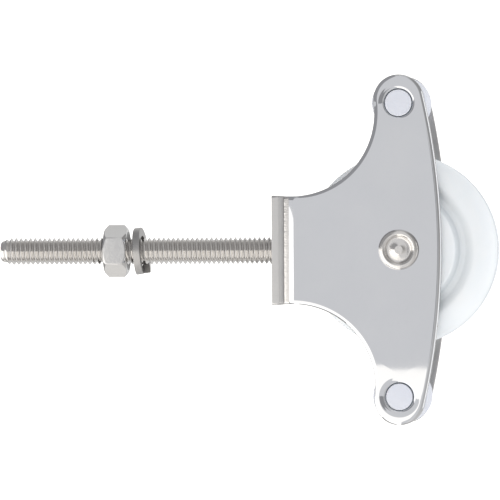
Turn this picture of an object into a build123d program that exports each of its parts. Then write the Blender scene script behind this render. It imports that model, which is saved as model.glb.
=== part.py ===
from build123d import *
import math
import os

# Bow roller on a threaded stud: a bent side channel holding one large line roller and two small ones.
# Millimetres. The origin is on the stud's axis, in the face that seats on the deck fitting.
# +Z runs up the stud towards the rollers, +Y along the axles, +X along the line's run.

# Stud thread, 5/16 inch, 18 turns to the inch
INCH = 25.4
STUD_DIA = 5 / 16 * INCH
STUD_PITCH = INCH / 18
STUD_BELOW_SEAT = 81.3
STUD_ABOVE_WEB = 1.0
STUD_TIP_BEVEL = 1.6
STUD_TIP_BEVEL_IN = 1.3
THREAD_VALLEY = 0.35
STUD_HOLE_GAP = 0.1
STUD_HOLE_R = STUD_DIA / 2 + STUD_HOLE_GAP
WELD_LEG = 2.6
WELD_R = STUD_DIA / 2 + WELD_LEG
WELD_H = 1.9
WELD_SAG = 0.2

# Seat plate and side channel
PLATE_T = 2.2
PLATE_LENGTH = 31.8
PLATE_CHAMFER = 0.15
PLATE_CORNER_R = 0.6
CHANNEL_W = 25.0
SHEET_T = 2.0
BEND_OUTER_R = 4.4
SEAM_HALF = 15.4
SEAM_FACE_IN = 0.08
SEAM_TOP_IN = 0.3
SEAM_H = 3.3
SEAM_ROOT_Y = 9.6
SEAM_ROOT_TOP_Y = 11.0
EDGE_ROUND = 1.1
STEM_HALF = 15.7
COVE_R = 24.0
EAR_X = 43.5
EAR_R = 7.3
CROWN_Z = 49.3
SHEET_HEIGHT = 60.0

# Axles
AXLE_Z = 37.0
SIDE_AXLE_X = 42.5
RIVET_SHANK_R = 4.0
RIVET_HEAD_R = 5.9
RIVET_HEAD_H = 1.6
RIVET_NUB = (1.45, 0.95)
RIVET_FLOOR = (1.7, 0.45)
RIVET_RING_IN = (3.9, 1.0)
RIVET_LIP_H = 0.5
RIVET_DOME_R = 6.2
RIVET_DOME_EDGE = 0.5
RIVET_DOME_H = 2.1
SLEEVE_R = 5.0
RUNNING_GAP = 0.06

# Punched trunnion holes, drawn in around the mouth
TRUNNION_R = 3.85
TRUNNION_HOLE_R = 3.95
MOUTH_R = 5.6
MOUTH_DEPTH = 0.2
TRUNNION_END = 12.6

# Rollers
ROLLER_R = 28.0
ROLLER_HUB_HALF = 10.2
ROLLER_HUB_R = 16.0
ROLLER_VALLEY = (18.4, 8.6)
ROLLER_VALLEY_HALF = 1.4
ROLLER_VALLEY_DEPTH = 0.35
ROLLER_SHOULDER = (21.5, 9.4)
ROLLER_SHOULDER_START = (0.93, 0.37)
ROLLER_FLANK = (25.9, 7.6)
ROLLER_CREST_Y = 4.4
LINE_GROOVE_R = 24.6
LINE_GROOVE_SIDE = (26.4, 1.9)
SIDE_ROLLER_R = 8.0
SIDE_ROLLER_WAIST_R = 6.7
SIDE_ROLLER_HALF = 9.4
SIDE_ROLLER_CORNER = 0.9
SIDE_ROLLER_LAND = 2.6
TRUNNION_BEVEL = 0.35

# Nut and split lock washer, as they sit on the stud
NUT_FLATS = 13.34
NUT_T = 6.75
NUT_BOTTOM_Z = -50.45
NUT_BORE_GAP = 0.08
NUT_BORE_R = STUD_DIA / 2 + NUT_BORE_GAP
NUT_BEVEL = 1.05
NUT_BEVEL_IN = 1.23
NUT_MOUTH_R = 5.7
NUT_MOUTH_DEPTH = 1.15
WASHER_WIRE_W = 2.55
WASHER_WIRE_T = 2.1
WASHER_BORE_R = 4.3
WASHER_LIFT = 1.9
WASHER_BOTTOM_Z = -42.5
WASHER_SPLIT_DEG = 8.0
WASHER_GAP_DEG = 12.0
WASHER_TILT_DEG = 6.5

WEB_TOP_Z = PLATE_T + SHEET_T
STUD_TOP_Z = WEB_TOP_Z + STUD_ABOVE_WEB
HALF_W = CHANNEL_W / 2
INNER_HALF_W = HALF_W - SHEET_T
RISING = (Align.CENTER, Align.CENTER, Align.MIN)
CUT_PAST = 1.0

os.makedirs("parts", exist_ok=True)


def save(shape, name):
    """Write one node."""
    shape.label = name
    export_step(shape, f"parts/{name}.step")


def arc(centre, radius, start_deg, end_deg):
    """Arc in the XZ plane about a centre, from one angle to another."""
    def at(deg):
        turn = math.radians(deg)
        return (centre[0] + radius * math.cos(turn), 0, centre[1] + radius * math.sin(turn))
    return ThreePointArc(at(start_deg), at((start_deg + end_deg) / 2), at(end_deg))


def turned(points_and_arcs, x=0.0, z=AXLE_Z):
    """Solid of revolution about an axle along Y: the profile is (radius, axial) in the XY plane."""
    profile = make_face(points_and_arcs)
    return Pos(x, 0, z) * revolve(profile, Axis.Y)


def disc(radius, y_low, y_high, x=0.0, z=AXLE_Z):
    """Plain cylinder along Y between two axial places."""
    return Pos(x, y_high, z) * Rot(90, 0, 0) * Cylinder(radius, y_high - y_low, align=RISING)


def cone(r_low, r_high, y_low, y_high, x, z):
    """Cone along Y, r_low at y_low and r_high at y_high."""
    return Pos(x, y_high, z) * Rot(90, 0, 0) * Cone(r_high, r_low, y_high - y_low, align=RISING)


# ---------------------------------------------------------------- side channel

def cheek_outline():
    """Stem, concave coves, round ears and a shallow crown, all tangent to each other."""
    cove_x = STEM_HALF + COVE_R
    cove_z = AXLE_Z - math.sqrt((COVE_R + EAR_R) ** 2 - (EAR_X - cove_x) ** 2)
    cove_end = math.degrees(math.atan2(AXLE_Z - cove_z, EAR_X - cove_x))
    rise = CROWN_Z - AXLE_Z - EAR_R
    crown_drop = (EAR_X ** 2 - rise ** 2) / (2 * rise)
    crown_centre = (0, AXLE_Z - crown_drop)
    crown_r = CROWN_Z - crown_centre[1]
    crown_start = math.degrees(math.atan2(crown_drop, EAR_X))
    cove = arc((cove_x, cove_z), COVE_R, 180, cove_end)
    ear = arc((EAR_X, AXLE_Z), EAR_R, cove_end - 180, crown_start)
    crown = arc(crown_centre, crown_r, crown_start, 90)
    foot = Line((0, 0, PLATE_T), (STEM_HALF, 0, PLATE_T))
    stem = Line((STEM_HALF, 0, PLATE_T), cove @ 0)
    half = [foot, stem, cove, ear, crown]
    return make_face(half + [mirror(edge, about=Plane.YZ) for edge in half])


def bent_sheet():
    """U section of the sheet, long enough to be trimmed to the outline."""
    half_height = SHEET_HEIGHT / 2
    outer = Plane.YZ * Pos(0, PLATE_T + half_height) * Rectangle(CHANNEL_W, SHEET_HEIGHT)
    inner = Plane.YZ * Pos(0, WEB_TOP_Z + half_height) * Rectangle(2 * INNER_HALF_W, SHEET_HEIGHT)
    outer = fillet(outer.vertices().sort_by(Axis.Z)[:2], BEND_OUTER_R)
    inner = fillet(inner.vertices().sort_by(Axis.Z)[:2], BEND_OUTER_R - SHEET_T)
    return extrude(outer - inner, EAR_X + 2 * EAR_R, both=True)


def trunnion_hole(body, x, side):
    """Open a hole in one cheek and draw in its mouth."""
    face_y = side * HALF_W
    floor_y = face_y - side * MOUTH_DEPTH
    low, high = sorted((face_y, floor_y))
    r_low, r_high = (MOUTH_R, TRUNNION_HOLE_R) if side < 0 else (TRUNNION_HOLE_R, MOUTH_R)
    body -= cone(r_low, r_high, low, high, x, AXLE_Z)
    low, high = sorted((face_y + side * CUT_PAST, side * (INNER_HALF_W - CUT_PAST)))
    return body - disc(TRUNNION_HOLE_R, low, high, x)


def side_channel():
    blank = bent_sheet() & extrude(cheek_outline(), HALF_W, both=True)
    rim = [
        edge for edge in blank.edges()
        if math.isclose(abs(edge.center().Y), HALF_W) and edge.center().Z > WEB_TOP_Z + BEND_OUTER_R
    ]
    body = fillet(rim, EDGE_ROUND)
    for side in (-1, 1):
        for x in (-SIDE_AXLE_X, SIDE_AXLE_X):
            body = trunnion_hole(body, x, side)
    body -= disc(RIVET_SHANK_R + RUNNING_GAP, -HALF_W - CUT_PAST, HALF_W + CUT_PAST)
    return body - Cylinder(STUD_HOLE_R, 2 * (WEB_TOP_Z + CUT_PAST))


def base_plate():
    plate = Box(PLATE_LENGTH, CHANNEL_W, PLATE_T, align=RISING)
    plate = fillet(plate.edges().filter_by(Axis.Z), PLATE_CORNER_R)
    plate = chamfer(plate.faces().sort_by(Axis.Z)[-1].edges(), PLATE_CHAMFER)
    return plate - Cylinder(STUD_HOLE_R, 3 * PLATE_T)


def seam_weld(side):
    """Ground weld filling the corner between the seat plate and one bend of the channel."""
    low, high = PLATE_T, PLATE_T + SEAM_H
    section = Plane.YZ * make_face(Polyline([
        (side * (HALF_W - SEAM_FACE_IN), low),
        (side * (HALF_W - SEAM_TOP_IN), high),
        (side * SEAM_ROOT_TOP_Y, high),
        (side * SEAM_ROOT_Y, low)], close=True))
    return extrude(section, SEAM_HALF, both=True) - bent_sheet()


# ---------------------------------------------------------------- stud and its fastenings

def stud():
    """Rod at the thread's outside size, with one thread valley cut where the nut's lower face stands."""
    length = STUD_BELOW_SEAT + STUD_TOP_Z
    rod = Pos(0, 0, -STUD_BELOW_SEAT) * Cylinder(STUD_DIA / 2, length, align=RISING)
    tip = rod.faces().sort_by(Axis.Z)[0]
    rod = chamfer(tip.edges(), STUD_TIP_BEVEL_IN, STUD_TIP_BEVEL, reference=tip)
    valley_width = STUD_PITCH / 2
    valley = Cylinder(STUD_DIA, valley_width) - Cylinder(STUD_DIA / 2 - THREAD_VALLEY, 2 * valley_width)
    return rod - Pos(0, 0, NUT_BOTTOM_Z + valley_width / 2) * valley


def stud_weld():
    """Fillet of weld metal around the stud's end, inside the channel."""
    r = STUD_DIA / 2
    corner = (r, 0, WEB_TOP_Z)
    toe = (WELD_R, 0, WEB_TOP_Z)
    crest = (r, 0, WEB_TOP_Z + WELD_H)
    middle = ((r + WELD_R) / 2 - WELD_SAG, 0, WEB_TOP_Z + WELD_H / 2 - WELD_SAG / 2)
    profile = make_face([Line(corner, toe), ThreePointArc(toe, middle, crest), Line(crest, corner)])
    return revolve(profile, Axis.Z)


def hex_nut():
    """Hexagon turned down at its corners, with a plain bore countersunk at both ends."""
    blank = extrude(RegularPolygon(NUT_FLATS / 2, 6, major_radius=False), NUT_T)
    body = Cylinder(NUT_FLATS / math.sqrt(3), NUT_T, align=RISING)
    body = chamfer(body.edges().filter_by(GeomType.CIRCLE), length=NUT_BEVEL_IN, length2=NUT_BEVEL)
    bore = Cylinder(NUT_BORE_R, 4 * NUT_T)
    mouth = Cone(NUT_MOUTH_R, NUT_BORE_R, NUT_MOUTH_DEPTH, align=RISING)
    nut = (blank & body) - bore - mouth - Pos(0, 0, NUT_T) * Rot(180, 0, 0) * mouth
    return Pos(0, 0, NUT_BOTTOM_Z) * nut


def lock_washer():
    """One left-hand turn of square wire, split where its ends pass each other, leaning on the stud."""
    mean_r = WASHER_BORE_R + WASHER_WIRE_W / 2
    turn = (360 - WASHER_GAP_DEG) / 360
    path = Helix(pitch=WASHER_LIFT / turn, height=WASHER_LIFT, radius=mean_r, lefthand=True)
    section = Plane(path @ 0, x_dir=(1, 0, 0), z_dir=path % 0) * Rectangle(WASHER_WIRE_W, WASHER_WIRE_T)
    wire = sweep(section, path=path, is_frenet=True)
    start = WASHER_SPLIT_DEG - WASHER_GAP_DEG / 2
    middle = (WASHER_LIFT + WASHER_WIRE_T) / 2
    upright = Pos(0, 0, WASHER_WIRE_T / 2 - middle) * Rot(0, 0, start) * wire
    return Pos(0, 0, WASHER_BOTTOM_Z + middle) * Rot(0, -WASHER_TILT_DEG, 0) * upright


# ---------------------------------------------------------------- axle and rollers

def axle_sleeve():
    tube = disc(SLEEVE_R, -INNER_HALF_W, INNER_HALF_W)
    return tube - disc(RIVET_SHANK_R + RUNNING_GAP, -HALF_W, HALF_W)


def sphere_height(rim_r, rim_y, top_y, r):
    """Height at radius r of the sphere whose top is on the axis and whose rim is at rim_r."""
    rise = top_y - rim_y
    sphere_r = (rim_r ** 2 + rise ** 2) / (2 * rise)
    return top_y - sphere_r + math.sqrt(sphere_r ** 2 - r ** 2)


def axle_rivet():
    """Shank with a spun, dished head in front and a low factory head behind."""
    front, back = -HALF_W, HALF_W
    nub, floor, ring_in = (
        (r, front - height) for r, height in (RIVET_NUB, RIVET_FLOOR, RIVET_RING_IN))
    crest = ((ring_in[0] + RIVET_HEAD_R) / 2, front - RIVET_HEAD_H)
    lip = (RIVET_HEAD_R, front - RIVET_LIP_H)
    dome_r, dome_edge, dome_top = RIVET_DOME_R, back + RIVET_DOME_EDGE, back + RIVET_DOME_H
    dome_mid = sphere_height(dome_r, dome_edge, dome_top, dome_r / 2)
    return turned([
        Line((0, nub[1]), nub),
        Line(nub, floor),
        Line(floor, ring_in),
        ThreePointArc(ring_in, crest, lip),
        Line(lip, (RIVET_HEAD_R, front)),
        Line((RIVET_HEAD_R, front), (RIVET_SHANK_R, front)),
        Line((RIVET_SHANK_R, front), (RIVET_SHANK_R, back)),
        Line((RIVET_SHANK_R, back), (dome_r, back)),
        Line((dome_r, back), (dome_r, dome_edge)),
        ThreePointArc((dome_r, dome_edge), (dome_r / 2, dome_mid), (0, dome_top)),
        Line((0, dome_top), (0, nub[1])),
    ])


def main_roller():
    """Hub faces, a shallow valley, rounded shoulders and a groove for the line."""
    bore = SLEEVE_R + RUNNING_GAP
    valley_r, valley_y = ROLLER_VALLEY

    def half(side):
        def at(r, y):
            return (r, side * y)

        valley_in = at(valley_r - ROLLER_VALLEY_HALF, valley_y + ROLLER_VALLEY_DEPTH)
        valley_out = at(valley_r + ROLLER_VALLEY_HALF, valley_y + ROLLER_VALLEY_DEPTH)
        crest = at(ROLLER_R, ROLLER_CREST_Y)
        return [
            Line((bore, 0), at(bore, ROLLER_HUB_HALF)),
            Line(at(bore, ROLLER_HUB_HALF), at(ROLLER_HUB_R, ROLLER_HUB_HALF)),
            Line(at(ROLLER_HUB_R, ROLLER_HUB_HALF), valley_in),
            ThreePointArc(valley_in, at(*ROLLER_VALLEY), valley_out),
            Spline(
                [valley_out, at(*ROLLER_SHOULDER), at(*ROLLER_FLANK), crest],
                tangents=[at(*ROLLER_SHOULDER_START), (0, -side)]),
            Spline(
                [crest, at(*LINE_GROOVE_SIDE), (LINE_GROOVE_R, 0)],
                tangents=[(0, -side), (0, -side)]),
        ]

    return turned(half(1) + half(-1))


def side_roller(x):
    """Small roller, slightly waisted, moulded in one with the trunnions it turns on."""
    r, half, corner = SIDE_ROLLER_R, SIDE_ROLLER_HALF, SIDE_ROLLER_CORNER
    tip, bevel = TRUNNION_END, TRUNNION_BEVEL
    bulge = corner * (1 - math.sqrt(0.5))
    land_y = half - SIDE_ROLLER_LAND

    def end(side):
        def at(radius, y):
            return (radius, side * y)

        return [
            Line(at(0, tip), at(TRUNNION_R - bevel, tip)),
            Line(at(TRUNNION_R - bevel, tip), at(TRUNNION_R, tip - bevel)),
            Line(at(TRUNNION_R, tip - bevel), at(TRUNNION_R, half)),
            Line(at(TRUNNION_R, half), at(r - corner, half)),
            ThreePointArc(at(r - corner, half), at(r - bulge, half - bulge), at(r, half - corner)),
            Line(at(r, half - corner), at(r, land_y)),
        ]

    waist = Spline(
        [(r, land_y), (SIDE_ROLLER_WAIST_R, 0), (r, -land_y)],
        tangents=[(0, -1), (0, -1)])
    axis_line = Line((0, tip), (0, -tip))
    return turned(end(1) + end(-1) + [waist, axis_line], x=x)


save(side_channel(), "side_channel")
save(base_plate(), "base_plate")
save(seam_weld(-1), "front_seam_weld")
save(seam_weld(1), "rear_seam_weld")
save(stud(), "stud")
save(stud_weld(), "stud_weld")
save(hex_nut(), "hex_nut")
save(lock_washer(), "lock_washer")
save(axle_sleeve(), "axle_sleeve")
save(axle_rivet(), "axle_rivet")
save(main_roller(), "main_roller")
save(side_roller(SIDE_AXLE_X), "fore_side_roller")
save(side_roller(-SIDE_AXLE_X), "aft_side_roller")
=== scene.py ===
import math

import bmesh
import bpy
from mathutils import Matrix, Vector


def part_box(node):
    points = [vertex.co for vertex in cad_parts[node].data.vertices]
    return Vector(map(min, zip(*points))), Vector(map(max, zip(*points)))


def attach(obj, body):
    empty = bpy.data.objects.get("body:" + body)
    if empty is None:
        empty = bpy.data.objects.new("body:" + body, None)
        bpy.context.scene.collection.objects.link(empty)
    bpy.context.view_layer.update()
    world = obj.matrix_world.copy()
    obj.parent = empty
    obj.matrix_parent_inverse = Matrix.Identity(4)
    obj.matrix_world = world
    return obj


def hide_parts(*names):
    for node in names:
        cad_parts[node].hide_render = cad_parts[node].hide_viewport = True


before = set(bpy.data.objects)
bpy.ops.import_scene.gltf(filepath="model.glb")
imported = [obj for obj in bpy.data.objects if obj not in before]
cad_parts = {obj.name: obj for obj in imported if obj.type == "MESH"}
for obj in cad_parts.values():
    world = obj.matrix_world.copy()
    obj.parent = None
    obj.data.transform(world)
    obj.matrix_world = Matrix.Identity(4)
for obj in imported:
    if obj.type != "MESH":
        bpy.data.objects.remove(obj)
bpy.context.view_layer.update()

MM = 0.001

# ------------------------------------------------------------------ sizes, read from the frame (mm)


def node_box(node):
    """Lowest and highest corner of a CAD node, in millimetres."""
    low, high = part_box(node)
    return low / MM, high / MM


CHANNEL_LOW, CHANNEL_HIGH = node_box("side_channel")
PLATE_LOW, PLATE_HIGH = node_box("base_plate")
STUD_LOW, STUD_HIGH = node_box("stud")
NUT_LOW, NUT_HIGH = node_box("hex_nut")
WASHER_LOW, WASHER_HIGH = node_box("lock_washer")
ROLLER_LOW, ROLLER_HIGH = node_box("main_roller")
FORE_LOW, FORE_HIGH = node_box("fore_side_roller")
AFT_LOW, AFT_HIGH = node_box("aft_side_roller")
WELD_LOW, WELD_HIGH = node_box("stud_weld")
SEAM_LOW, SEAM_HIGH = node_box("rear_seam_weld")
RIVET_LOW, RIVET_HIGH = node_box("axle_rivet")
SLEEVE_LOW, SLEEVE_HIGH = node_box("axle_sleeve")

AXLE_Z = (ROLLER_LOW.z + ROLLER_HIGH.z) / 2
FORE_X = (FORE_LOW.x + FORE_HIGH.x) / 2
AFT_X = (AFT_LOW.x + AFT_HIGH.x) / 2
ROLLER_R = (ROLLER_HIGH.z - ROLLER_LOW.z) / 2
HUB_HALF = ROLLER_HIGH.y
SIDE_R = (FORE_HIGH.z - FORE_LOW.z) / 2
TRUNNION_TIP = FORE_HIGH.y

HALF_W = CHANNEL_HIGH.y
WEB_Z = CHANNEL_LOW.z
CROWN_Z = CHANNEL_HIGH.z
SHEET_T = 2.0
BEND_R = 4.4
STEM_HALF = 15.7
COVE_R = 24.0
EAR_R = 7.3
EAR_X = CHANNEL_HIGH.x - EAR_R
EDGE_IN = 0.3
SEAM_GROOVE_RISE = 1.3

HOLE_R = 3.95
AXLE_HOLE_R = 4.06
HOLE_STEPS = 96

STUD_R = (STUD_HIGH.x - STUD_LOW.x) / 2
STUD_HOLE_R = STUD_R + 0.1
STUD_HOLE_STEPS = 64
PITCH = 25.4 / 18
THREAD_DEPTH = 0.6134 * PITCH
THREAD_TURN_STEPS = 72
NUT_FLATS = NUT_HIGH.y - NUT_LOW.y

# ------------------------------------------------------------------ outline and profile helpers


def circle_point(centre, radius, degrees):
    turn = math.radians(degrees)
    return (centre[0] + radius * math.cos(turn), centre[1] + radius * math.sin(turn))


def arc_points(centre, radius, start, end, steps):
    """Points of an arc, both ends included."""
    return [circle_point(centre, radius, start + (end - start) * i / steps) for i in range(steps + 1)]


def rounded(corners, steps=6, closed=False):
    """Polyline through corners (a, b, radius), each corner turned into an arc of its radius."""
    points = []
    count = len(corners)
    for i, (a, b, radius) in enumerate(corners):
        here = Vector((a, b))
        if radius <= 0 or (not closed and i in (0, count - 1)):
            points.append((a, b))
            continue
        before = Vector(corners[i - 1][:2]) - here
        after = Vector(corners[(i + 1) % count][:2]) - here
        half = before.angle(after) / 2
        reach = radius / math.tan(half)
        start = here + before.normalized() * reach
        end = here + after.normalized() * reach
        centre = here + (before.normalized() + after.normalized()).normalized() * radius / math.sin(half)
        first, last = start - centre, end - centre
        sweep = first.angle(last)
        side = 1 if first.x * last.y - first.y * last.x > 0 else -1
        for k in range(steps + 1):
            turn = side * sweep * k / steps
            c, s = math.cos(turn), math.sin(turn)
            points.append((centre.x + c * first.x - s * first.y, centre.y + s * first.x + c * first.y))
    return points


def hermite(p, q, p_slope, q_slope, steps):
    """Cubic curve from p to q with given end slopes, p left out."""
    p, q, m, n = Vector(p), Vector(q), Vector(p_slope), Vector(q_slope)
    out = []
    for i in range(1, steps + 1):
        t = i / steps
        v = ((2 * t ** 3 - 3 * t ** 2 + 1) * p + (t ** 3 - 2 * t ** 2 + t) * m
             + (-2 * t ** 3 + 3 * t ** 2) * q + (t ** 3 - t ** 2) * n)
        out.append((v.x, v.y))
    return out


# ------------------------------------------------------------------ mesh helpers


MERGE_DISTANCE = 1e-4
TINY = 1e-5


def finish_mesh(bm, name, sharp_degrees=30):
    """Millimetre bmesh to a smooth-shaded object in metres, sharp where faces turn more than the angle."""
    bmesh.ops.remove_doubles(bm, verts=bm.verts, dist=MERGE_DISTANCE)
    bmesh.ops.dissolve_degenerate(bm, edges=bm.edges, dist=TINY)
    bmesh.ops.recalc_face_normals(bm, faces=bm.faces)
    bmesh.ops.scale(bm, vec=(MM, MM, MM), verts=bm.verts)
    mesh = bpy.data.meshes.new(name)
    bm.to_mesh(mesh)
    bm.free()
    for polygon in mesh.polygons:
        polygon.use_smooth = True
    mesh.set_sharp_from_angle(angle=math.radians(sharp_degrees))
    obj = bpy.data.objects.new(name, mesh)
    bpy.context.scene.collection.objects.link(obj)
    return obj


def weighted_normals(obj):
    """Flat faces keep flat shading up to the rounding beside them."""
    modifier = obj.modifiers.new("weighted", "WEIGHTED_NORMAL")
    modifier.keep_sharp = True
    modifier.weight = 80
    modifier.mode = "FACE_AREA"


def add_ring(bm, points):
    return [bm.verts.new(p) for p in points]


def join_rings(bm, first, second, closed=True):
    count = len(first)
    for i in range(count if closed else count - 1):
        j = (i + 1) % count
        bm.faces.new((first[i], first[j], second[j], second[i]))


def circle(place, radius, along, steps):
    """Points of a circle; place(radius, along, angle) gives each one."""
    return [place(radius, along, 2 * math.pi * k / steps) for k in range(steps)]


def lathe(bm, profile, steps, place, closed=False):
    """Turn a (radius, along) profile about the axis that the placing function stands for."""
    rings = []
    for radius, along in profile:
        if radius < TINY:
            rings.append([bm.verts.new(place(0, along, 0))] * steps)
        else:
            rings.append(add_ring(bm, circle(place, radius, along, steps)))
    pairs = list(zip(rings, rings[1:]))
    if closed:
        pairs.append((rings[-1], rings[0]))
    for first, second in pairs:
        for i in range(steps):
            j = (i + 1) % steps
            corners = [first[i], first[j], second[j], second[i]]
            unique = list(dict.fromkeys(corners))
            if len(unique) > 2:
                bm.faces.new(unique)
    return rings


def about_y(x, z):
    """Placing function of an axle along Y."""
    return lambda r, along, turn: (x + r * math.cos(turn), along, z + r * math.sin(turn))


def about_z(r, along, turn):
    """Placing function of the stud's axis."""
    return (r * math.cos(turn), r * math.sin(turn), along)


def bridge_rings(bm, first, second):
    """Triangles between two closed rings about Z that may differ in their number of points."""
    def turn(vert):
        return math.atan2(vert.co.y, vert.co.x)

    a, b = sorted(first, key=turn), sorted(second, key=turn)
    i = j = 0
    while i < len(a) or j < len(b):
        next_a = turn(a[i + 1]) if i + 1 < len(a) else turn(a[0]) + 2 * math.pi
        next_b = turn(b[j + 1]) if j + 1 < len(b) else turn(b[0]) + 2 * math.pi
        here_a, here_b = a[i % len(a)], b[j % len(b)]
        if j >= len(b) or (i < len(a) and next_a <= next_b):
            bm.faces.new((here_a, a[(i + 1) % len(a)], here_b))
            i += 1
        else:
            bm.faces.new((here_a, b[(j + 1) % len(b)], here_b))
            j += 1


def fill_flat(bm, loops):
    """Fill a flat region between closed loops of vertices."""
    edges = []
    for loop in loops:
        for i, vert in enumerate(loop):
            other = loop[(i + 1) % len(loop)]
            edges.append(bm.edges.get((vert, other)) or bm.edges.new((vert, other)))
    bmesh.ops.triangle_fill(bm, use_beauty=True, use_dissolve=False, edges=edges)


# ------------------------------------------------------------------ materials


# The Mix node's sockets, which share their names: numbers first, then colours
NUMBER_A, NUMBER_B, NUMBER_RESULT = 2, 3, 0
COLOUR_A, COLOUR_B, COLOUR_RESULT = 6, 7, 2


class Graph:
    """A material's node tree, with short calls for the nodes used here; sizes are in millimetres."""

    def __init__(self, name):
        self.material = bpy.data.materials.new(name)
        self.material.use_nodes = True
        self.tree = self.material.node_tree
        self.shader = self.tree.nodes["Principled BSDF"]
        coords = self.tree.nodes.new("ShaderNodeTexCoord")
        self.place = self.scaled(coords.outputs["Object"], [1 / MM] * 3)

    def node(self, kind, links=(), **settings):
        made = self.tree.nodes.new(kind)
        for key, value in settings.items():
            setattr(made, key, value)
        for socket, value in links:
            self.put(made.inputs[socket], value)
        return made

    def put(self, socket, value):
        if isinstance(value, bpy.types.NodeSocket):
            self.tree.links.new(value, socket)
        else:
            socket.default_value = value

    def scaled(self, vector, scale):
        return self.node("ShaderNodeMapping", [("Vector", vector), ("Scale", scale)]).outputs["Vector"]

    def noise(self, size_mm, detail=2.0, roughness=0.5, stretch=(1, 1, 1), distortion=0.0):
        """Noise whose features are about size_mm across, stretched along the axes given."""
        vector = self.scaled(self.place, [1 / (size_mm * s) for s in stretch])
        made = self.node("ShaderNodeTexNoise", [
            ("Vector", vector), ("Scale", 1.0), ("Detail", detail), ("Roughness", roughness),
            ("Distortion", distortion)])
        return made.outputs["Fac"]

    def ranged(self, value, low, high, to_low, to_high):
        made = self.node("ShaderNodeMapRange", [
            ("Value", value), ("From Min", low), ("From Max", high), ("To Min", to_low), ("To Max", to_high)])
        return made.outputs["Result"]

    def maths(self, operation, a, b=0.0):
        made = self.node("ShaderNodeMath", [(0, a), (1, b)], operation=operation)
        return made.outputs["Value"]

    def mixed(self, factor, a, b):
        """Colour between a and b."""
        made = self.node("ShaderNodeMix", data_type="RGBA")
        self.put(made.inputs["Factor"], factor)
        self.put(made.inputs[COLOUR_A], a)
        self.put(made.inputs[COLOUR_B], b)
        return made.outputs[COLOUR_RESULT]

    def blended(self, factor, a, b):
        """Number between a and b."""
        made = self.node("ShaderNodeMix", [("Factor", factor), (NUMBER_A, a), (NUMBER_B, b)])
        return made.outputs[NUMBER_RESULT]

    def openness(self, distance_mm, samples, low, high, **settings):
        """0 in hollows narrower than the distance, 1 on open surfaces."""
        made = self.node("ShaderNodeAmbientOcclusion", [("Distance", distance_mm * MM)],
                         samples=samples, **settings)
        return self.ranged(made.outputs["AO"], low, high, 0.0, 1.0)

    def bump(self, height, distance_mm, normal=None):
        links = [("Height", height), ("Distance", distance_mm * MM), ("Strength", 1.0)]
        if normal is not None:
            links.append(("Normal", normal))
        return self.node("ShaderNodeBump", links).outputs["Normal"]

    def set(self, **values):
        for key, value in values.items():
            self.put(self.shader.inputs[key.replace("_", " ")], value)
        return self.material


def grey(value, warm=0.0):
    return (value * (1 + warm), value, value * (1 - warm), 1.0)


def polished_sheet():
    """Buffed stainless sheet: nearly a mirror outside, with long waves and faint smears; satin inside."""
    g = Graph("polished_stainless")
    waves = g.noise(16, detail=1.0)
    lines = g.noise(0.25, detail=3.0, stretch=(60, 1, 1))
    smears = g.noise(14, detail=5.0, roughness=0.65, distortion=0.6)
    pits = g.noise(0.6, detail=2.0)
    grain = g.noise(0.3, detail=3.0, stretch=(1, 1, 14))
    axes = g.node("ShaderNodeSeparateXYZ", [(0, g.place)])
    depth = g.maths("ABSOLUTE", axes.outputs["Y"])
    inside = g.ranged(depth, HALF_W - SHEET_T + 0.02, HALF_W - SHEET_T + 0.25, 1.0, 0.0)
    normal = g.bump(waves, 0.012)
    normal = g.bump(lines, 0.00006, normal)
    normal = g.bump(g.maths("MULTIPLY", grain, inside), 0.004, normal)
    outside_rough = g.maths("ADD", g.ranged(smears, 0.35, 0.75, 0.018, 0.04),
                            g.ranged(lines, 0.6, 0.85, 0.0, 0.015))
    inside_rough = g.ranged(smears, 0.35, 0.7, 0.38, 0.5)
    rough = g.blended(inside, outside_rough, inside_rough)
    above_bend = g.ranged(axes.outputs["Z"], WEB_Z + BEND_R - 0.3, WEB_Z + BEND_R + 0.3, 0.0, 1.0)
    edge = g.maths("MULTIPLY", g.ranged(depth, HALF_W - 0.75, HALF_W - 0.35, 1.0, 0.0), above_bend)
    edge = g.maths("MULTIPLY", edge, g.maths("SUBTRACT", 1.0, inside))
    rough = g.blended(edge, rough, 0.3)
    tint = g.mixed(g.ranged(smears, 0.3, 0.7, 0.0, 1.0), (0.690, 0.700, 0.725, 1), (0.715, 0.722, 0.74, 1))
    tint = g.mixed(g.ranged(pits, 0.68, 0.80, 0.0, 0.25), tint, (0.55, 0.55, 0.56, 1))
    scuffs = g.noise(1.1, detail=5.0, roughness=0.7, stretch=(2.5, 1, 1), distortion=1.2)
    cloud = g.noise(22, detail=2.0)
    tint = g.mixed(g.ranged(scuffs, 0.60, 0.72, 0.0, 0.5), tint, (0.655, 0.665, 0.68, 1))
    tint = g.mixed(g.ranged(cloud, 0.3, 0.7, 0.0, 0.6), tint, (0.672, 0.684, 0.705, 1))
    tint = g.mixed(inside, tint, grey(0.58, 0.01))
    tint = g.mixed(edge, tint, grey(0.66, 0.0))
    return g.set(Metallic=1.0, Base_Color=tint, Roughness=rough, Normal=normal)


def mill_plate():
    """Satin mill surface with a cut edge: short drag lines and a duller, greyer tone."""
    g = Graph("mill_stainless")
    tone = 0.60
    lines = g.noise(0.18, detail=4.0, stretch=(1, 1, 18))
    cloud = g.noise(5, detail=4.0, roughness=0.6)
    normal = g.bump(lines, 0.006)
    normal = g.bump(cloud, 0.01, normal)
    rough = g.ranged(cloud, 0.3, 0.7, 0.30, 0.42)
    tint = g.mixed(cloud, grey(tone * 0.94), grey(tone * 1.06, 0.01))
    tint = g.mixed(g.ranged(lines, 0.6, 0.85, 0, 0.4), tint, grey(tone * 0.7))
    return g.set(Metallic=1.0, Base_Color=tint, Roughness=rough, Normal=normal)


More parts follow.
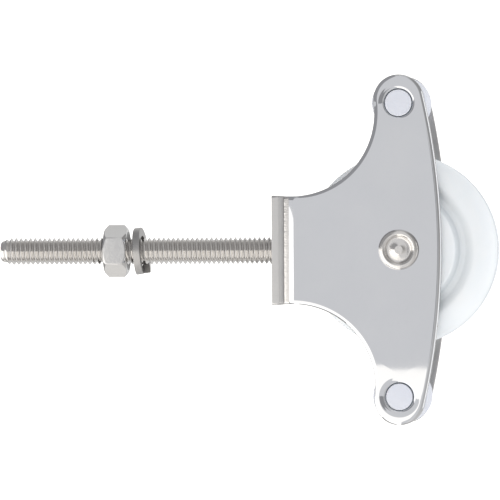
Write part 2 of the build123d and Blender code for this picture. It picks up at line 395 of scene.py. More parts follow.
def ground_weld():
    """Weld ground satin beside the seat plate and buffed bright above its groove."""
    g = Graph("ground_weld_steel")
    lines = g.noise(0.18, detail=4.0, stretch=(1, 1, 18))
    cloud = g.noise(4, detail=4.0, roughness=0.6)
    ripple = g.noise(0.35, detail=2.0, stretch=(1, 4, 4))
    axes = g.node("ShaderNodeSeparateXYZ", [(0, g.place)])
    bead_z = SEAM_LOW.z + SEAM_GROOVE_RISE + 0.1
    buffed = g.ranged(axes.outputs["Z"], bead_z - 0.04, bead_z + 0.04, 0.0, 1.0)
    normal = g.bump(g.blended(buffed, lines, g.maths("MULTIPLY", ripple, 0.3)), 0.006)
    rough = g.blended(buffed, g.ranged(cloud, 0.3, 0.7, 0.30, 0.42), 0.14)
    satin = g.mixed(cloud, grey(0.56), grey(0.63, 0.01))
    bright = g.mixed(g.ranged(ripple, 0.35, 0.75, 0, 1), grey(0.70, 0.02), grey(0.64, 0.03))
    return g.set(Metallic=1.0, Base_Color=g.mixed(buffed, satin, bright), Roughness=rough, Normal=normal)


def worked_steel(name, lines_stretch, rough_low, rough_high, tone, warm=0.03, valley=0.18, dent_mm=0.018):
    """Rolled or turned stainless: tool lines, small dents, and painted shade that darkens its valleys towards
    the valley tone.
    """
    g = Graph(name)
    lines = g.noise(0.07, detail=3.0, stretch=lines_stretch)
    dents = g.noise(0.9, detail=4.0, roughness=0.65)
    cloud = g.noise(6, detail=3.0)
    normal = g.bump(lines, 0.0025)
    normal = g.bump(dents, dent_mm, normal)
    rough = g.ranged(dents, 0.3, 0.7, rough_low, rough_high)
    tint = g.mixed(cloud, grey(tone * 0.92, warm), grey(tone * 1.04, warm * 0.6))
    # painted shade: ambient occlusion darkens valleys and hollows towards the valley tone
    tint = g.mixed(g.openness(0.7, 6, 0.15, 0.8), grey(valley, 0.04), tint)
    return g.set(Metallic=1.0, Base_Color=tint, Roughness=rough, Normal=normal)


def weld_metal():
    """Weld metal with heat colour near its toe."""
    g = Graph("weld_metal")
    ripple = g.noise(0.5, detail=3.0)
    cloud = g.noise(2.2, detail=4.0)
    tint = g.mixed(g.ranged(cloud, 0.35, 0.65, 0, 1), (0.50, 0.45, 0.39, 1), (0.68, 0.66, 0.63, 1))
    normal = g.bump(ripple, 0.04)
    return g.set(Metallic=1.0, Base_Color=tint, Roughness=g.ranged(cloud, 0.3, 0.7, 0.3, 0.55), Normal=normal)


def nylon(name, dark_tint, light_tint):
    """Moulded nylon: cool white, slightly translucent, with painted shade in its own hollows, soft texture
    and marks.
    """
    g = Graph(name)
    skin = g.noise(0.35, detail=3.0)
    flow = g.noise(9, detail=3.0, distortion=0.8)
    marks = g.noise(0.5, detail=4.0, stretch=(1, 5, 1))
    normal = g.bump(flow, 0.03)
    normal = g.bump(skin, 0.004, normal)
    tint = g.mixed(g.ranged(flow, 0.3, 0.7, 0, 1), (*dark_tint, 1), (*light_tint, 1))
    tint = g.mixed(g.ranged(marks, 0.70, 0.85, 0, 0.25), tint, (0.72, 0.74, 0.76, 1))
    # painted shade: ambient occlusion within the roller darkens its valley and hollows
    tint = g.mixed(g.openness(12, 8, 0.70, 1.0, only_local=True), (0.35, 0.40, 0.43, 1), tint)
    rough = g.maths("ADD", g.ranged(flow, 0.3, 0.7, 0.30, 0.40), g.ranged(marks, 0.6, 0.8, 0, 0.12))
    return g.set(Base_Color=tint, Roughness=rough, Normal=normal, IOR=1.53, Subsurface_Weight=0.12,
                 Subsurface_Radius=(0.9, 1.0, 1.1), Subsurface_Scale=1.2 * MM)


SHEET = polished_sheet()
PLATE = mill_plate()
SEAM = ground_weld()
THREAD = worked_steel("rolled_thread_steel", (1, 1, 1), 0.04, 0.10, tone=0.70, valley=0.36, dent_mm=0.005)
TURNED = worked_steel("turned_steel", (30, 30, 1), 0.07, 0.14, tone=0.64, warm=0.01)
# near-black tone: painted shade for the nut's countersink and inner thread
SHADED_TAPPED = worked_steel("tapped_steel_painted_shade", (8, 8, 1), 0.2, 0.35, tone=0.22, warm=0.02)
HEADED = worked_steel("headed_steel", (1, 30, 1), 0.10, 0.2, tone=0.72, warm=0.03)
SPRING = worked_steel("spring_steel", (12, 12, 1), 0.25, 0.4, tone=0.43, warm=0.02)
SHEARED = worked_steel("sheared_steel", (1, 1, 8), 0.4, 0.55, tone=0.16, warm=0.03)
WELD = weld_metal()
NYLON = nylon("white_nylon", (0.86, 0.90, 0.93), (0.89, 0.92, 0.945))
# a bluer nylon of its own, with its tone lowered as painted shade for the small rollers between the cheeks
SHADED_SMALL_NYLON = nylon("blue_white_nylon_painted_shade", (0.72, 0.745, 0.82), (0.75, 0.775, 0.84))


def hand_over(obj, body, material, node):
    """Give a finished piece its material and body, and hide the CAD node that it stands for."""
    obj.data.materials.append(material)
    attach(obj, body)
    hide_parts(node)


# ------------------------------------------------------------------ side channel

COVE_STEPS, EAR_STEPS, CROWN_STEPS, BEND_STEPS = 48, 56, 40, 12


def cheek_half():
    """Right half of the cheek's outline above the bend, from the stem up to the crown's middle."""
    cove_x = STEM_HALF + COVE_R
    cove_z = AXLE_Z - math.sqrt((COVE_R + EAR_R) ** 2 - (EAR_X - cove_x) ** 2)
    cove_end = math.degrees(math.atan2(AXLE_Z - cove_z, EAR_X - cove_x))
    rise = CROWN_Z - AXLE_Z - EAR_R
    drop = (EAR_X ** 2 - rise ** 2) / (2 * rise)
    crown_centre = (0, AXLE_Z - drop)
    crown_r = CROWN_Z - crown_centre[1]
    crown_start = math.degrees(math.atan2(drop, EAR_X))
    bend_top = WEB_Z + BEND_R
    cove_start = 180 - math.degrees(math.asin((bend_top - cove_z) / COVE_R))
    return (arc_points((cove_x, cove_z), COVE_R, cove_start, cove_end, COVE_STEPS)
            + arc_points((EAR_X, AXLE_Z), EAR_R, cove_end - 180, crown_start, EAR_STEPS)[1:]
            + arc_points(crown_centre, crown_r, crown_start, 90, CROWN_STEPS)[1:])


def inward(points):
    """Unit normals into the sheet, for a counter-clockwise run of outline points."""
    normals = []
    for i, point in enumerate(points):
        before = Vector(points[max(i - 1, 0)])
        after = Vector(points[min(i + 1, len(points) - 1)])
        along = (after - before).normalized()
        normals.append((-along.y, along.x))
    return normals


def sheet_stations():
    """Stations round the whole edge, and the count of one cheek's.

    A station is a point of the outer surface, the direction into the sheet and the direction through it.
    """
    half = cheek_half()
    outline = half + [(-x, z) for x, z in reversed(half[:-1])]
    normals = inward(outline)
    stations = []
    for side in (-1, 1):
        flip = -side
        stations += [((flip * x, side * HALF_W, z), (flip * nx, 0, nz), (0, -side, 0))
                     for (x, z), (nx, nz) in zip(outline, normals)]
        edge_x = side * STEM_HALF
        into = (-side, 0, 0)
        down = [(side, 90.0 * k / BEND_STEPS) for k in range(1, BEND_STEPS + 1)]
        up = [(-side, 90.0 * (1 - k / BEND_STEPS)) for k in range(BEND_STEPS)]
        for where, degrees in down + up:
            turn = math.radians(degrees)
            out_y, out_z = where * math.cos(turn), -math.sin(turn)
            y = where * (HALF_W - BEND_R) + BEND_R * out_y
            stations.append(((edge_x, y, WEB_Z + BEND_R + BEND_R * out_z), into, (0, -out_y, -out_z)))
    return stations, len(outline)


def edge_profile():
    """Section of the sheet's edge as (distance in, depth): a broad outer and a small inner rounding."""
    start, reach, depth = (1.2, 0.0), 1.2, 0.95
    outer = [start] + hermite(start, (0, depth), (-1.75 * reach, 0.02), (0, 1.5 * depth), 11)
    inner = arc_points((EDGE_IN, SHEET_T - EDGE_IN), EDGE_IN, 180, 90, 4)
    return outer + inner


def mouth_profile():
    """Section of a punched trunnion hole as (radius, depth): drawn-in mouth, wall, small flare inside."""
    mouth = [(6.0, 0), (5.85, 0.003), (5.7, 0.010), (5.5, 0.024), (5.3, 0.036), (5.1, 0.046), (4.9, 0.057),
             (4.75, 0.068), (4.62, 0.082), (4.5, 0.104), (4.38, 0.142), (4.27, 0.20), (4.16, 0.28),
             (4.07, 0.38), (4.0, 0.50)]
    wall = [(HOLE_R, 0.64), (HOLE_R, SHEET_T - 0.08)]
    return mouth + wall + [(HOLE_R + 0.03, SHEET_T - 0.02), (HOLE_R + 0.1, SHEET_T)]


def close_surface(bm, ring, outline_count, surface):
    """Fill the sheet's outer (0) or inner (1) surface within its edge, leaving the holes."""
    run = 2 * BEND_STEPS
    front = ring[:outline_count]
    left = ring[outline_count:outline_count + run]
    back = ring[outline_count + run:2 * outline_count + run]
    right = ring[2 * outline_count + run:]
    across = list(zip([front[-1]] + left + [back[0]], [front[0]] + right[::-1] + [back[-1]]))
    middle = len(across) // 2
    for i, (low, high) in enumerate(zip(across, across[1:])):
        if i + 1 != middle:
            bm.faces.new((low[0], low[1], high[1], high[0]))
    depth = surface * SHEET_T
    web_loop = [across[middle - 1][0], across[middle - 1][1], across[middle][1], across[middle][0]]
    stud_hole = add_ring(bm, circle(about_z, STUD_HOLE_R, WEB_Z + depth, STUD_HOLE_STEPS))
    fill_flat(bm, [web_loop, stud_hole])
    mouth_r = mouth_profile()[-surface][0]
    for side, cheek in ((-1, front), (1, back)):
        holes = [add_ring(bm, circle(about_y(x, AXLE_Z), radius, side * (HALF_W - depth), HOLE_STEPS))
                 for x, radius in ((0, AXLE_HOLE_R), (AFT_X, mouth_r), (FORE_X, mouth_r))]
        fill_flat(bm, [cheek] + holes)


def side_channel():
    """Bent sheet: web, two cheeks with ears, dished trunnion holes, axle holes and the stud's hole."""
    bm = bmesh.new()
    stations, outline_count = sheet_stations()
    rings = [add_ring(bm, [Vector(point) + Vector(into) * inset + Vector(through) * depth
                           for point, into, through in stations])
             for inset, depth in edge_profile()]
    for first, second in zip(rings, rings[1:]):
        join_rings(bm, first, second)
    close_surface(bm, rings[0], outline_count, 0)
    close_surface(bm, rings[-1], outline_count, 1)
    for side in (-1, 1):
        for x in (AFT_X, FORE_X):
            lathe(bm, [(r, side * (HALF_W - d)) for r, d in mouth_profile()], HOLE_STEPS, about_y(x, AXLE_Z))
        wall = [(AXLE_HOLE_R, side * HALF_W), (AXLE_HOLE_R, side * (HALF_W - SHEET_T))]
        lathe(bm, wall, HOLE_STEPS, about_y(0, AXLE_Z))
    lathe(bm, [(STUD_HOLE_R, WEB_Z), (STUD_HOLE_R, WEB_Z + SHEET_T)], STUD_HOLE_STEPS, about_z)
    obj = finish_mesh(bm, "polished_side_channel")
    weighted_normals(obj)
    hand_over(obj, "bracket", SHEET, "side_channel")


def base_plate():
    """Seat plate with broken edges and a clearance hole for the stud."""
    bm = bmesh.new()
    half_x, half_y = PLATE_HIGH.x, PLATE_HIGH.y
    corner_r, break_top, break_bottom, soft = 0.7, 0.12, 0.1, 0.03

    def loop(inset, z):
        corners = [(sx * (half_x - inset), sy * (half_y - inset), max(corner_r - inset, 0.05))
                   for sx, sy in ((1, 1), (-1, 1), (-1, -1), (1, -1))]
        return add_ring(bm, [(x, y, z) for x, y in rounded(corners, steps=5, closed=True)])

    heights = [(break_bottom, PLATE_LOW.z), (soft, PLATE_LOW.z + soft), (0, PLATE_LOW.z + break_bottom),
               (0, PLATE_HIGH.z - break_top), (soft, PLATE_HIGH.z - soft), (break_top, PLATE_HIGH.z)]
    loops = [loop(inset, z) for inset, z in heights]
    for first, second in zip(loops, loops[1:]):
        join_rings(bm, first, second)
    rings = lathe(bm, [(STUD_HOLE_R + 0.15, PLATE_LOW.z), (STUD_HOLE_R, PLATE_LOW.z + 0.15),
                       (STUD_HOLE_R, PLATE_HIGH.z)], STUD_HOLE_STEPS, about_z)
    fill_flat(bm, [loops[0], rings[0]])
    fill_flat(bm, [loops[-1], rings[-1]])
    obj = finish_mesh(bm, "seat_plate", 40)
    weighted_normals(obj)
    hand_over(obj, "bracket", PLATE, "base_plate")


def uneven(x):
    """Slow unevenness of a hand-ground line, from -1 to 1."""
    return 0.5 * math.sin(1.9 * x) + 0.3 * math.sin(4.3 * x + 1.0) + 0.2 * math.sin(7.7 * x + 0.4)


def rippled(x):
    """Fine ripples of a buffed bead, from -1 to 1."""
    return 0.6 * math.sin(9.1 * x + 0.7 * math.sin(1.3 * x)) + 0.4 * math.sin(23.0 * x)


def seam_weld(side, node):
    """Weld in the corner between the seat plate and a bend: ground flush, then a groove and a buffed bead."""
    bm = bmesh.new()
    low, half_x, outer_y = SEAM_LOW.z, SEAM_HIGH.x, SEAM_HIGH.y
    groove_z, top = low + SEAM_GROOVE_RISE, SEAM_HIGH.z - 0.06
    groove_wave, groove_deep, foot_rise, bead_bulge, ripple_deep = 0.04, 0.30, 0.12, 0.02, 0.0012
    steps, end_round, end_sink = 180, 0.6, 0.14
    bend_y, bend_z = HALF_W - BEND_R, WEB_Z + BEND_R
    reach, root_degrees = BEND_R + 0.02, 68
    meet = math.degrees(math.asin((bend_z - top) / reach))
    bead_y = bend_y + reach * math.cos(math.radians(meet)) - 0.015
    foot_y = outer_y - groove_deep
    rings = []
    for k in range(steps + 1):
        x = -half_x + 2 * half_x * k / steps
        step_z = groove_z + groove_wave * uneven(x)
        near_end = max(0.0, end_round - (half_x - abs(x))) / end_round
        sink = end_sink * near_end ** 2
        section = [(outer_y - sink, low), (outer_y - 0.005 - sink, low + 0.1),
                   (outer_y - 0.05 - sink, step_z - 0.1), (outer_y - 0.10 - sink, step_z - 0.02),
                   (foot_y - 0.06 - sink, step_z + 0.03), (foot_y - sink, step_z + foot_rise)]
        for share in (0.25, 0.5, 0.75):
            y = (foot_y + (bead_y - foot_y) * share + bead_bulge * math.sin(math.pi * share)
                 + ripple_deep * rippled(x))
            section.append((y - sink * (1 - share), step_z + foot_rise + (top - step_z - foot_rise) * share))
        section += [(bend_y + reach * math.cos(math.radians(a)), bend_z - reach * math.sin(math.radians(a)))
                    for a in (meet, (meet + root_degrees) / 2, root_degrees)]
        section.append((section[-1][0], low))
        rings.append(add_ring(bm, [(x, side * y, z) for y, z in section]))
    for first, second in zip(rings, rings[1:]):
        join_rings(bm, first, second)
    bm.faces.new(rings[0])
    bm.faces.new(rings[-1])
    obj = finish_mesh(bm, "ground_" + node, 40)
    hand_over(obj, "bracket", SEAM, node)


# ------------------------------------------------------------------ thread, nut and washer


def thread_profile(crest_r, root_r):
    """One pitch of a 60 degree thread as (radius, share of a pitch), crest first, valley in the middle."""
    depth = crest_r - root_r
    flank = depth * math.tan(math.radians(30)) / PITCH
    crest = 1 / 16
    valley = crest + flank * 0.9
    half = [(crest_r, 0.0), (crest_r - 0.004, crest * 0.6), (crest_r - 0.03, crest),
            (root_r + depth * 0.12, valley), (root_r + depth * 0.02, (valley + 0.5) / 2), (root_r, 0.5)]
    return half + [(r, 1 - share) for r, share in reversed(half[1:-1])]


def helical_skin(bm, z_low, z_high, crest_r, root_r, limit):
    """Thread surface from z_low to z_high; limit(z, r) trims the radius, and the spare turns are cut off."""
    section = thread_profile(crest_r, root_r)
    width = len(section)
    spare_turns = 3
    turns = math.ceil((z_high - z_low) / PITCH) + spare_turns
    steps = turns * THREAD_TURN_STEPS
    start = math.floor(z_low / PITCH) - 1
    rows = []
    for k in range(steps + 1):
        turn = 2 * math.pi * k / THREAD_TURN_STEPS
        row = []
        for radius, share in section:
            z = (start + k / THREAD_TURN_STEPS + share) * PITCH
            r = limit(z, radius)
            row.append(bm.verts.new((r * math.cos(turn), r * math.sin(turn), z)))
        rows.append(row)
    for k in range(steps):
        for i in range(width):
            if i + 1 < width:
                bm.faces.new((rows[k][i], rows[k + 1][i], rows[k + 1][i + 1], rows[k][i + 1]))
            elif k + THREAD_TURN_STEPS < steps:
                bm.faces.new((rows[k][i], rows[k + 1][i],
                              rows[k + 1 + THREAD_TURN_STEPS][0], rows[k + THREAD_TURN_STEPS][0]))
    for z, keep_above in ((z_low, True), (z_high, False)):
        everything = bm.verts[:] + bm.edges[:] + bm.faces[:]
        bmesh.ops.bisect_plane(bm, geom=everything, plane_co=(0, 0, z), plane_no=(0, 0, 1), dist=TINY,
                               clear_inner=keep_above, clear_outer=not keep_above)


def end_loop(bm, z):
    """Open boundary vertices at a height, in order round the axis."""
    verts = {v for e in bm.edges if e.is_boundary for v in e.verts if abs(v.co.z - z) < 10 * MERGE_DISTANCE}
    return sorted(verts, key=lambda v: math.atan2(v.co.y, v.co.x))


def threaded_stud():
    """Threaded rod whose free end has a rounded lead-in."""
    bm = bmesh.new()
    tip, top = STUD_LOW.z, STUD_HIGH.z
    lead, drop, flare, shoulder = 3.2, 1.45, 0.62, 1.15
    flat_share, dimple = 0.82, 0.05

    def limit(z, r):
        into = min(max((z - tip) / lead, 0.0), 1.0)
        return min(r, STUD_R - drop * (1 - into ** flare) ** shoulder)

    helical_skin(bm, tip, top, STUD_R, STUD_R - THREAD_DEPTH, limit)
    for z, out in ((tip, -1), (top, 1)):
        rim = end_loop(bm, z)
        inner = [bm.verts.new((v.co.x * flat_share, v.co.y * flat_share, z)) for v in rim]
        join_rings(bm, rim, inner)
        centre = bm.verts.new((0, 0, z - out * dimple))
        for i, vert in enumerate(inner):
            bm.faces.new((vert, inner[(i + 1) % len(inner)], centre))
    obj = finish_mesh(bm, "threaded_stud", 50)
    hand_over(obj, "bracket", THREAD, "stud")


def hex_outline(corner_r=0.22, per_flat=14):
    """Hexagon across its flats with slightly rounded corners, each flat divided for the curved chamfer."""
    corner = NUT_FLATS / math.sqrt(3)
    corners = [(*circle_point((0, 0), corner, 60 * k), corner_r) for k in range(6)]
    soft = rounded(corners, steps=4, closed=True)
    outline = []
    for i, point in enumerate(soft):
        outline.append(point)
        here, after = Vector(point), Vector(soft[(i + 1) % len(soft)])
        if (after - here).length > 1:
            outline += [tuple(here.lerp(after, k / per_flat)) for k in range(1, per_flat)]
    return outline


def hex_nut():
    """Hexagon with curved chamfers at both ends, widely countersunk and threaded to mesh with the stud."""
    bm = bmesh.new()
    outline = hex_outline()
    bearing_r, slope, soft = NUT_FLATS / 2 * 0.97, 0.85, 0.09
    mouth_r, mouth_deep = 5.7, 1.15
    bore_r = STUD_R - THREAD_DEPTH + 0.28
    chain = []
    for end, into in ((NUT_LOW.z, 1), (NUT_HIGH.z, -1)):
        rings = [[], [], [], [], []]
        for x, y in outline:
            r = math.hypot(x, y)
            drop = max((r - bearing_r) * slope, 0.04)
            for ring, (radius, deep) in zip(rings, (
                    (mouth_r, 0.0), (mouth_r + 0.12, 0.0), (bearing_r, 0.0),
                    (r - 0.05, max(drop - 0.05 * slope, 0.02)), (r, drop + soft))):
                ring.append((x * radius / r, y * radius / r, end + into * deep))
        made = [add_ring(bm, ring) for ring in rings]
        chain += made if into > 0 else made[::-1]
    for first, second in zip(chain, chain[1:]):
        join_rings(bm, first, second)

    def limit(z, r):
        deep = min(z - NUT_LOW.z, NUT_HIGH.z - z)
        return max(r, mouth_r - (mouth_r - bore_r) * deep / mouth_deep)

    thread = bmesh.new()
    inside = 0.02
    helical_skin(thread, NUT_LOW.z + inside, NUT_HIGH.z - inside, STUD_R + 0.06, bore_r, limit)
    mesh = bpy.data.meshes.new("nut_thread")
    thread.to_mesh(mesh)
    thread.free()
    bm.from_mesh(mesh)
    bpy.data.meshes.remove(mesh)
    for z, ring in ((NUT_LOW.z, chain[0]), (NUT_HIGH.z, chain[-1])):
        inner = z + inside if ring is chain[0] else z - inside
        bridge_rings(bm, ring, end_loop(bm, inner))
    # countersink and inner thread take the near-black steel, painted shade in the nut's bore
    for face in bm.faces:
        if max(math.hypot(v.co.x, v.co.y) for v in face.verts) < mouth_r + 0.01:
            face.material_index = 1
    obj = finish_mesh(bm, "nut", 35)
    weighted_normals(obj)
    hand_over(obj, "nut", TURNED, "hex_nut")
    obj.data.materials.append(SHADED_TAPPED)


def lock_washer():
    """Split spring washer: a left-hand turn of square wire with cut ends, leaning on the stud."""
    bm = bmesh.new()
    width, thick, lift, tilt = 2.55, 2.1, 1.9, 6.5
    outer_r = (WASHER_HIGH.y - WASHER_LOW.y) / 2
    mean_r = outer_r - width / 2
    split, gap = 8.0, 12.0
    steps = 120
    corner = 0.2
    section = rounded([(-width / 2, -thick / 2, corner), (width / 2, -thick / 2, corner),
                       (width / 2, thick / 2, corner), (-width / 2, thick / 2, corner)], steps=4, closed=True)
    middle = Vector((0, 0, (WASHER_LOW.z + WASHER_HIGH.z) / 2))
    lean = Matrix.Rotation(math.radians(-tilt), 4, "Y")
    rings = []
    for k in range(steps + 1):
        share = k / steps
        turn = math.radians(split - gap / 2 - (360 - gap) * share)
        rise = lift * (share - 0.5)
        rings.append(add_ring(bm, [
            middle + lean @ Vector(((mean_r + a) * math.cos(turn), (mean_r + a) * math.sin(turn), rise + b))
            for a, b in section]))
    for first, second in zip(rings, rings[1:]):
        join_rings(bm, first, second)
    for ring in (rings[0], rings[-1]):
        bm.faces.new(ring).material_index = 1
    obj = finish_mesh(bm, "split_lock_washer", 40)
    weighted_normals(obj)
    hand_over(obj, "lock_washer", SPRING, "lock_washer")
    obj.data.materials.append(SHEARED)


def stud_weld():
    """Rippled fillet of weld metal round the stud's end."""
    bm = bmesh.new()
    steps = 120
    radius = (WELD_HIGH.x - WELD_LOW.x) / 2
    top = WELD_HIGH.z - WELD_LOW.z
    rings = []
    for row in range(11):
        share = row / 10
        ring = []
        for k in range(steps):
            turn = 2 * math.pi * k / steps
            ripple = 0.12 * math.sin(17 * turn + 2.2 * share) + 0.07 * math.sin(5 * turn + 1.0)
            bulge = math.sin(math.pi * share)
            r = STUD_R + (radius - STUD_R - 0.25) * (1 - share) + bulge * (0.12 + 0.6 * ripple)
            z = WELD_LOW.z + (top - 0.15) * share + bulge * (0.1 + 0.5 * ripple)
            ring.append((r * math.cos(turn), r * math.sin(turn), z))
        rings.append(add_ring(bm, ring))
    for first, second in zip(rings, rings[1:]):
        join_rings(bm, first, second)
    join_rings(bm, rings[-1], rings[0])
    obj = finish_mesh(bm, "stud_weld_bead", 50)
    hand_over(obj, "bracket", WELD, "stud_weld")


# ------------------------------------------------------------------ axle and rollers


TURNED_STEPS = 128


def axle_rivet():
    """Shank with a spun, dished head in front and a low factory head behind."""
    bm = bmesh.new()
    front, back = -HALF_W, HALF_W
    head_r, shank_r, rim_h, dome_steps = 5.9, 4.0, 0.55, 16
    dome_r, dome_h = (RIVET_HIGH.x - RIVET_LOW.x) / 2, RIVET_HIGH.y - HALF_W
    nub = rounded([(0, front - 0.86, 0), (1.2, front - 0.90, 0.25), (1.62, front - 0.62, 0.2)], steps=5)[:-1]
    cone = rounded([(1.62, front - 0.62, 0), (3.5, front - 0.565, 0.5), (4.05, front - 1.2, 0.3),
                    (4.5, front - 1.6, 0.5), (5.5, front - 1.35, 0.7), (head_r, front - 0.25, 0.25),
                    (head_r - 0.12, front, 0)], steps=6)
    shank = [(shank_r, front), (shank_r, back)]
    rim = [(dome_r - 0.1, back), (dome_r, back + 0.25), (dome_r, back + rim_h)]
    dome = [(dome_r * math.cos(a), back + rim_h + (dome_h - rim_h) * math.sin(a))
            for a in [math.pi / 2 * k / dome_steps for k in range(1, dome_steps)]]
    dome.append((0, back + dome_h))
    lathe(bm, nub + cone + shank + rim + dome, TURNED_STEPS, about_y(0, AXLE_Z))
    obj = finish_mesh(bm, "dished_axle_rivet", 40)
    hand_over(obj, "bracket", HEADED, "axle_rivet")


def main_roller():
    """Large nylon roller: flat hub, shallow valley, rounded shoulders and the groove for the line."""
    bm = bmesh.new()
    bore = 5.06
    hub_r, valley_r, valley_y = 16.0, 18.4, 8.6
    shoulder = (21.5, 9.4)
    crest_y, groove_r = 4.4, 24.6
    face = rounded([(bore, HUB_HALF - 0.5, 0), (bore + 0.5, HUB_HALF, 0.2), (hub_r, HUB_HALF, 1.1),
                    (hub_r + 1.6, valley_y + 0.1, 1.1), (valley_r + 0.6, valley_y + 0.05, 0)], steps=8)
    face += hermite(face[-1], shoulder, (1.4, 0.2), (2.4, 0.4), 10)
    face += hermite(shoulder, (ROLLER_R, crest_y), (8.0, 0.9), (0.0, -7.6), 26)
    face += hermite((ROLLER_R, crest_y), (groove_r, 0), (0.0, -4.4), (0.0, -4.4), 22)
    other = [(r, -y) for r, y in reversed(face[:-1])]
    lathe(bm, face + other, 2 * TURNED_STEPS, about_y(0, AXLE_Z), closed=True)
    obj = finish_mesh(bm, "nylon_main_roller", 35)
    hand_over(obj, "main_roller", NYLON, "main_roller")


def side_roller(x, node, body):
    """Small waisted roller with moulded trunnions."""
    bm = bmesh.new()
    half, waist_r, land = 9.4, 6.7, 2.6
    trunnion_r = 3.85
    end = rounded([(0, TRUNNION_TIP, 0), (trunnion_r, TRUNNION_TIP, 0.2), (trunnion_r, half, 0.25),
                   (SIDE_R, half, 0.9), (SIDE_R, half - land, 0)], steps=7)
    waist = hermite((SIDE_R, half - land), (waist_r, 0), (0, -5.5), (0, -7.0), 16)
    other = [(r, -y) for r, y in reversed((end + waist)[:-1])]
    lathe(bm, end + waist + other, TURNED_STEPS, about_y(x, AXLE_Z))
    obj = finish_mesh(bm, "nylon_" + node, 35)
    hand_over(obj, body, SHADED_SMALL_NYLON, node)


def axle_sleeve():
    """Spacer tube with broken edges."""
    bm = bmesh.new()
    outer, inner = (SLEEVE_HIGH.x - SLEEVE_LOW.x) / 2, AXLE_HOLE_R
    half = SLEEVE_HIGH.y
    section = rounded([(outer, -half, 0.2), (outer, half, 0.2), (inner, half, 0.12), (inner, -half, 0.12)],
                      steps=4, closed=True)
    lathe(bm, section, HOLE_STEPS, about_y(0, AXLE_Z), closed=True)
    obj = finish_mesh(bm, "spacer_sleeve", 40)
    hand_over(obj, "bracket", TURNED, "axle_sleeve")


side_channel()
base_plate()
seam_weld(-1, "front_seam_weld")
seam_weld(1, "rear_seam_weld")
threaded_stud()
hex_nut()
lock_washer()
stud_weld()
axle_rivet()
axle_sleeve()
main_roller()
side_roller(FORE_X, "fore_side_roller", "fore_side_roller")
side_roller(AFT_X, "aft_side_roller", "aft_side_roller")

# ------------------------------------------------------------------ stage, light and camera


def stage_card(name, corners, radiance, diffuse=0.0, camera_sees=False):
    """Flat glowing panel on four corners, in metres; diffuse adds a matt white surface to it."""
    mesh = bpy.data.meshes.new(name)
    mesh.from_pydata(corners, [], [range(len(corners))])
    obj = bpy.data.objects.new(name, mesh)
    bpy.context.scene.collection.objects.link(obj)
    g = Graph(name)
    g.set(Base_Color=grey(diffuse), Roughness=1.0, Specular_IOR_Level=0.0, Emission_Color=(*radiance, 1),
          Emission_Strength=1.0)
    mesh.materials.append(g.material)
    obj.visible_camera = camera_sees


def upright_card(name, x_span, z_span, y, radiance):
    (x0, x1), (z0, z1) = x_span, z_span
    stage_card(name, [(x0, y, z0), (x1, y, z0), (x1, y, z1), (x0, y, z1)], radiance)


def level_card(name, x_span, y_span, z, radiance, diffuse=0.0, camera_sees=False):
    (x0, x1), (y0, y1) = x_span, y_span
    stage_card(name, [(x0, y0, z), (x1, y0, z), (x1, y1, z), (x0, y1, z)], radiance, diffuse, camera_sees)


def world_ramp(tree, source, stops, warm=0.0):
    """Grey ramp over -1 to 1 of one component of the direction."""
    ramp = tree.nodes.new("ShaderNodeValToRGB")
    span = tree.nodes.new("ShaderNodeMapRange")
    span.inputs["From Min"].default_value = -1
    span.inputs["From Max"].default_value = 1
    tree.links.new(source, span.inputs["Value"])
    tree.links.new(span.outputs["Result"], ramp.inputs["Fac"])
    elements = ramp.color_ramp.elements
    while len(elements) < len(stops):
        elements.new(0.5)
    for element, (at, value) in zip(elements, stops):
        element.position = at
        element.color = grey(value, warm * at)
    return ramp.outputs["Color"]


def world_mix(tree, kind, factor, a, b):
    made = tree.nodes.new("ShaderNodeMix")
    made.data_type = "RGBA"
    made.blend_type = kind
    for name, value in (("Factor", factor), (COLOUR_A, a), (COLOUR_B, b)):
        socket = made.inputs[name]
        if isinstance(value, bpy.types.NodeSocket):
            tree.links.new(value, socket)
        else:
            socket.default_value = value
    return made.outputs[COLOUR_RESULT]


FILL_COLOUR = (0.615, 0.615, 0.62, 1)
FILL_STRENGTH = 1.7


def studio_world():
    """Soft surround for reflections, an even fill for matt surfaces and white behind the object.

    The surround is mid grey towards -X, dark above and below there, bright and slightly warm towards +X.
    """
    world = bpy.data.worlds.new("studio")
    bpy.context.scene.world = world
    world.use_nodes = True
    tree = world.node_tree
    coords = tree.nodes.new("ShaderNodeTexCoord")
    split = tree.nodes.new("ShaderNodeSeparateXYZ")
    tree.links.new(coords.outputs["Generated"], split.inputs[0])
    across, up = split.outputs["X"], split.outputs["Z"]
    level = world_ramp(tree, across, [(0, 0.66), (0.25, 0.70), (0.5, 0.76), (0.75, 0.95), (0.93, 1.0),
                                      (0.965, 0.55)], warm=0.02)
    dark_side = world_ramp(tree, up, [(0, 0.4), (0.3, 0.5), (0.44, 1.0), (0.62, 1.0), (0.72, 0.55), (1, 0.5)])
    light_side = world_ramp(tree, up, [(0, 1.0), (0.62, 1.0), (0.72, 0.72), (1, 0.7)])
    side = world_ramp(tree, across, [(0.48, 0.0), (0.56, 1.0)])
    shade = world_mix(tree, "MIX", side, dark_side, light_side)
    surround = world_mix(tree, "MULTIPLY", 1.0, level, shade)
    path = tree.nodes.new("ShaderNodeLightPath")
    even = world_mix(tree, "MIX", path.outputs["Is Diffuse Ray"], surround, FILL_COLOUR)
    seen = world_mix(tree, "MIX", path.outputs["Is Camera Ray"], even, (1, 1, 1, 1))
    tree.links.new(seen, tree.nodes["Background"].inputs["Color"])
    fill = tree.nodes.new("ShaderNodeMapRange")
    fill.inputs["To Min"].default_value = 1.0
    fill.inputs["To Max"].default_value = FILL_STRENGTH
    tree.links.new(path.outputs["Is Diffuse Ray"], fill.inputs["Value"])
    tree.links.new(fill.outputs["Result"], tree.nodes["Background"].inputs["Strength"])


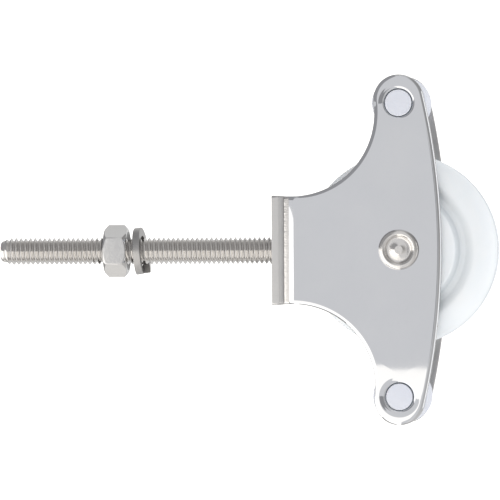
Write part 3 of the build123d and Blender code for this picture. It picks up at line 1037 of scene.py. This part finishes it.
def camera():
    """Long lens looking along +Y from a little above, the stud to the left."""
    data = bpy.data.cameras.new("camera")
    obj = bpy.data.objects.new("camera", data)
    bpy.context.scene.collection.objects.link(obj)
    pitch, roll, place = 0.1171, 0.0043, Vector((-0.12, -1452.4, 163.1))
    forward = Vector((0, math.cos(pitch), -math.sin(pitch)))
    up = Matrix.Rotation(roll, 3, forward) @ Vector((-1, 0, 0))
    right = forward.cross(up)
    turn = Matrix((right, up, -forward)).transposed().to_4x4()
    obj.matrix_world = Matrix.Translation(place * MM) @ turn
    data.sensor_width = 36
    data.lens = 359.9
    data.clip_start, data.clip_end = 0.05, 60
    bpy.context.scene.camera = obj


# Cards in metres; the flags lie just over the floor and only mirrors see them
FLOOR_Z = -0.30
FLAG_Z = FLOOR_Z + 0.004
FLOOR_REACH = 20
SIDE = 1.6
FRONT, BACK, MID_BACK = -1.3, 0.5, 0.12
GREY_LIGHT = (0.81, 0.81, 0.82)
WHITE_LIGHT = (1.48, 1.44, 1.38)
level_card("floor", (-FLOOR_REACH, FLOOR_REACH), (-FLOOR_REACH, FLOOR_REACH), FLOOR_Z, (0.84, 0.81, 0.765),
           diffuse=0.8, camera_sees=True)
level_card("grey_flag", (-0.03, -0.017), (FRONT, MID_BACK), FLAG_Z, GREY_LIGHT)
level_card("dark_flag", (-SIDE, -0.03), (FRONT, BACK), FLAG_Z, (0.38, 0.38, 0.39))
level_card("side_flag", (0.35, SIDE), (-0.17, MID_BACK), FLAG_Z, (0.5, 0.49, 0.47))
level_card("rear_flag", (-0.03, SIDE), (MID_BACK, BACK), FLAG_Z, (0.45, 0.45, 0.44))
stage_card("end_card", [(-SIDE, FRONT, FLOOR_Z), (-SIDE, BACK, FLOOR_Z), (-SIDE, BACK, 0), (-SIDE, FRONT, 0)],
           (0.6, 0.6, 0.6))
upright_card("grey_card_low", (-SIDE, 0.059), (-0.232, -0.01), -1.0, GREY_LIGHT)
upright_card("grey_card_high", (-SIDE, SIDE), (-0.01, 0.32), -1.0, GREY_LIGHT)
upright_card("white_card", (0.02, 2.2), (FLOOR_Z, 0.0), -1.06, WHITE_LIGHT)
upright_card("dark_card", (-0.075, 0.075), (0.03, 0.26), -0.98, (0.35, 0.35, 0.36))
upright_card("back_card_grey", (-SIDE, 0.8), (-0.29, 0.6), BACK, (0.80, 0.80, 0.80))
upright_card("back_card_white", (0.8, 1.8), (-0.29, 0.6), BACK, (1.03, 1.01, 0.98))
level_card("top_light", (-0.4, 0.4), (-0.15, 0.42), 0.9, (1.5, 1.5, 1.5))
studio_world()
camera()
bpy.context.scene.view_settings.view_transform = "Standard"
